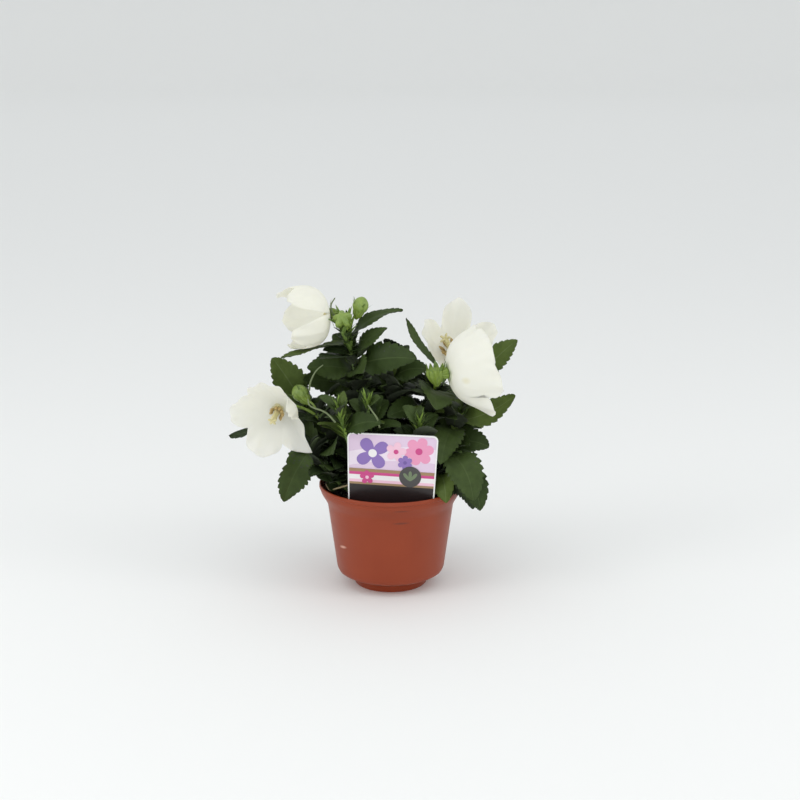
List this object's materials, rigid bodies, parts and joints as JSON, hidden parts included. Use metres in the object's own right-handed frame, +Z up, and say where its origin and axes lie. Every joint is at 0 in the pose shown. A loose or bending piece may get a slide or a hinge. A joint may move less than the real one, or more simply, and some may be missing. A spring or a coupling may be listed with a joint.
{
  "type": "potted balloon flower",
  "caption": "Dwarf campanulate garden perennial with serrate green leaves, round buds and large cream cup blooms, in a terracotta plastic nursery pot with a plant label.",
  "frame": {"origin": "centre of the pot's flat underside", "axes": "+Z up along the pot's axis, -Y towards the front, where the plant label stands, +X to the right as seen from the front"},
  "size_m": [0.2393, 0.1582, 0.2541],
  "materials": {
    "pot": "satin terracotta",
    "label": "printed card",
    "soil": "moist potting compost",
    "stem": "green stem",
    "leaf": "green leaf",
    "petal": "cream petal"
  },
  "bodies": {
    "root": {"bloom_left": "petal", "bloom_right": "petal", "bloom_upper_left": "petal", "bloom_upper_right": "petal", "foliage_back": "leaf", "foliage_back_bloom": "leaf", "foliage_back_left": "leaf", "foliage_centre": "leaf", "foliage_centre_back": "leaf", "foliage_far_right": "leaf", "foliage_front_left": "leaf", "foliage_front_middle": "leaf", "foliage_front_right": "leaf", "foliage_left": "leaf", "foliage_left_bloom": "leaf", "foliage_low_back_left": "leaf", "foliage_low_back_right": "leaf", "foliage_low_left": "leaf", "foliage_low_right": "leaf", "foliage_right": "leaf", "foliage_right_bloom": "leaf", "foliage_tall": "leaf", "label": "label", "pot": "pot", "soil": "soil", "stem_back": "stem", "stem_back_bloom": "stem", "stem_back_left": "stem", "stem_centre": "stem", "stem_centre_back": "stem", "stem_far_right": "stem", "stem_front_left": "stem", "stem_front_middle": "stem", "stem_front_right": "stem", "stem_left": "stem", "stem_left_bloom": "stem", "stem_low_back_left": "stem", "stem_low_back_right": "stem", "stem_low_left": "stem", "stem_low_right": "stem", "stem_right": "stem", "stem_right_bloom": "stem", "stem_tall": "stem"}
  },
  "joints": []
}
